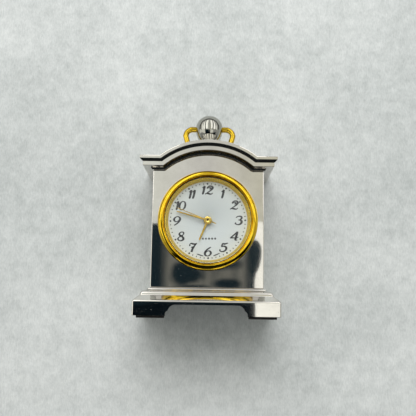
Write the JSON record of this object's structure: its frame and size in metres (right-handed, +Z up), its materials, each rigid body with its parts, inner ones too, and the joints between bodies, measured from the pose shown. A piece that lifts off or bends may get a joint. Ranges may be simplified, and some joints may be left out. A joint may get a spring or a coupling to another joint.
{
  "type": "miniature mantel clock",
  "caption": "Miniature mantel clock with an arched moulded case on bracket feet, a knob finial, a bail handle and a push-in round quartz clock insert.",
  "frame": {"origin": "on the surface the clock stands on, at the middle of its overall footprint", "axes": "+Z up, -Y out of the dial, +X to the clock's right as it is looked at"},
  "size_m": [0.0388, 0.026, 0.0575],
  "materials": {
    "chrome_case": "mirror polished",
    "gold_wire": "polished gold plate",
    "gold_bezel": "polished gold plate",
    "gold_hands": "polished gold plate",
    "dial_white": "satin white enamel paint",
    "crystal_glass": "clear, polished",
    "black_rubber": "matt black",
    "brass": "satin",
    "cream_plastic": "moulded",
    "steel_back": "circular brushed",
    "steel_parts": "fine brushed",
    "green_board": "solder-masked board",
    "black_plastic": "moulded",
    "copper_wire": "enamelled copper winding"
  },
  "bodies": {
    "case": {"back_plate": "chrome_case", "back_screw_1": "steel_parts", "back_screw_2": "steel_parts", "back_screw_3": "steel_parts", "back_screw_4": "steel_parts", "base_plinth": "chrome_case", "base_screw_left": "steel_parts", "base_screw_right": "steel_parts", "body_shell": "chrome_case", "finial_knob": "chrome_case", "finial_screw": "steel_parts", "foot_pad_back_left": "black_rubber", "foot_pad_back_right": "black_rubber", "foot_pad_front_left": "black_rubber", "foot_pad_front_right": "black_rubber", "handle_bail": "gold_wire", "roof_cornice": "chrome_case"},
    "clock_insert": {"bezel": "gold_bezel", "crystal": "crystal_glass", "crystal_gasket": "black_rubber", "reflector_ring": "gold_bezel", "dial": "dial_white", "insert_cup": "brass", "grip_ring": "black_rubber", "movement_ring": "cream_plastic", "insert_back": "steel_back", "main_plate": "brass", "train_bridge": "steel_parts", "bridge_screw_1": "steel_parts", "bridge_screw_2": "steel_parts", "bridge_screw_3": "steel_parts", "stator": "steel_parts", "coil_core": "steel_parts", "coil_winding": "copper_wire", "circuit_board": "green_board", "quartz_can": "steel_parts", "driver_chip": "black_plastic", "battery": "steel_parts", "battery_clip": "steel_parts"},
    "second_arbor": {"fourth_wheel": "brass", "second_hand": "gold_hands"},
    "third_arbor": {"third_wheel": "brass"},
    "minute_arbor": {"centre_wheel": "brass"},
    "fifth_arbor": {"fifth_wheel": "brass"},
    "motor_rotor": {"rotor": "steel_parts"},
    "minute_sleeve": {"cannon_pinion": "steel_parts", "minute_hand": "gold_hands"},
    "motion_wheel": {"minute_wheel": "brass"},
    "hour_sleeve": {"hour_wheel": "brass", "hour_hand": "gold_hands"},
    "setting_idler": {"setting_wheel": "steel_parts"},
    "stem_lever": {"setting_lever": "steel_parts"},
    "stem_and_crown": {"setting_stem": "steel_parts", "crown": "gold_hands"},
    "stem_clutch": {"clutch_wheel": "steel_parts"}
  },
  "joints": [
    {"name": "insert_slide", "type": "slide", "parent": "case", "child": "clock_insert", "axis": [0, -1, 0], "range_m": [0, 0.012]},
    {"name": "second_turn", "type": "hinge", "parent": "clock_insert", "child": "second_arbor", "pos_m": [0, -0.0088, 0.0259], "axis": [0, 1, 0], "continuous": true},
    {"name": "third_turn", "type": "hinge", "parent": "clock_insert", "child": "third_arbor", "pos_m": [0.00249, -0.0088, 0.02446], "axis": [0, 1, 0], "continuous": true},
    {"name": "centre_turn", "type": "hinge", "parent": "clock_insert", "child": "minute_arbor", "pos_m": [0, -0.0088, 0.0259], "axis": [0, 1, 0], "continuous": true},
    {"name": "fifth_turn", "type": "hinge", "parent": "clock_insert", "child": "fifth_arbor", "pos_m": [0, -0.0088, 0.02875], "axis": [0, 1, 0], "continuous": true},
    {"name": "rotor_turn", "type": "hinge", "parent": "clock_insert", "child": "motor_rotor", "pos_m": [0, -0.0088, 0.03037], "axis": [0, 1, 0], "continuous": true},
    {"name": "minute_turn", "type": "hinge", "parent": "clock_insert", "child": "minute_sleeve", "pos_m": [0, -0.0088, 0.0259], "axis": [0, 1, 0], "continuous": true},
    {"name": "motion_turn", "type": "hinge", "parent": "clock_insert", "child": "motion_wheel", "pos_m": [0.00106, -0.0088, 0.02816], "axis": [0, 1, 0], "continuous": true},
    {"name": "hour_turn", "type": "hinge", "parent": "clock_insert", "child": "hour_sleeve", "pos_m": [0, -0.0088, 0.0259], "axis": [0, 1, 0], "continuous": true},
    {"name": "setting_turn", "type": "hinge", "parent": "clock_insert", "child": "setting_idler", "pos_m": [0.0029, -0.0088, 0.0259], "axis": [0, 1, 0], "continuous": true},
    {"name": "crown_pull", "type": "slide", "parent": "clock_insert", "child": "stem_lever", "axis": [1, 0, 0], "range_m": [0, 0.0006]},
    {"name": "crown_turn", "type": "hinge", "parent": "stem_lever", "child": "stem_and_crown", "pos_m": [0.0104, -0.00685, 0.0259], "axis": [1, 0, 0], "continuous": true},
    {"name": "clutch_turn", "type": "hinge", "parent": "clock_insert", "child": "stem_clutch", "pos_m": [0.005, -0.00685, 0.0259], "axis": [1, 0, 0], "continuous": true}
  ],
  "couplings": [
    {"joint": "third_turn", "follows": "second_turn", "ratio": -0.13333},
    {"joint": "centre_turn", "follows": "second_turn", "ratio": 0.016667},
    {"joint": "fifth_turn", "follows": "second_turn", "ratio": -6},
    {"joint": "rotor_turn", "follows": "second_turn", "ratio": 30},
    {"joint": "motion_turn", "follows": "minute_turn", "ratio": -0.33333},
    {"joint": "hour_turn", "follows": "minute_turn", "ratio": 0.083333},
    {"joint": "setting_turn", "follows": "minute_turn", "ratio": 0.6},
    {"joint": "clutch_turn", "follows": "crown_turn", "ratio": 1}
  ]
}
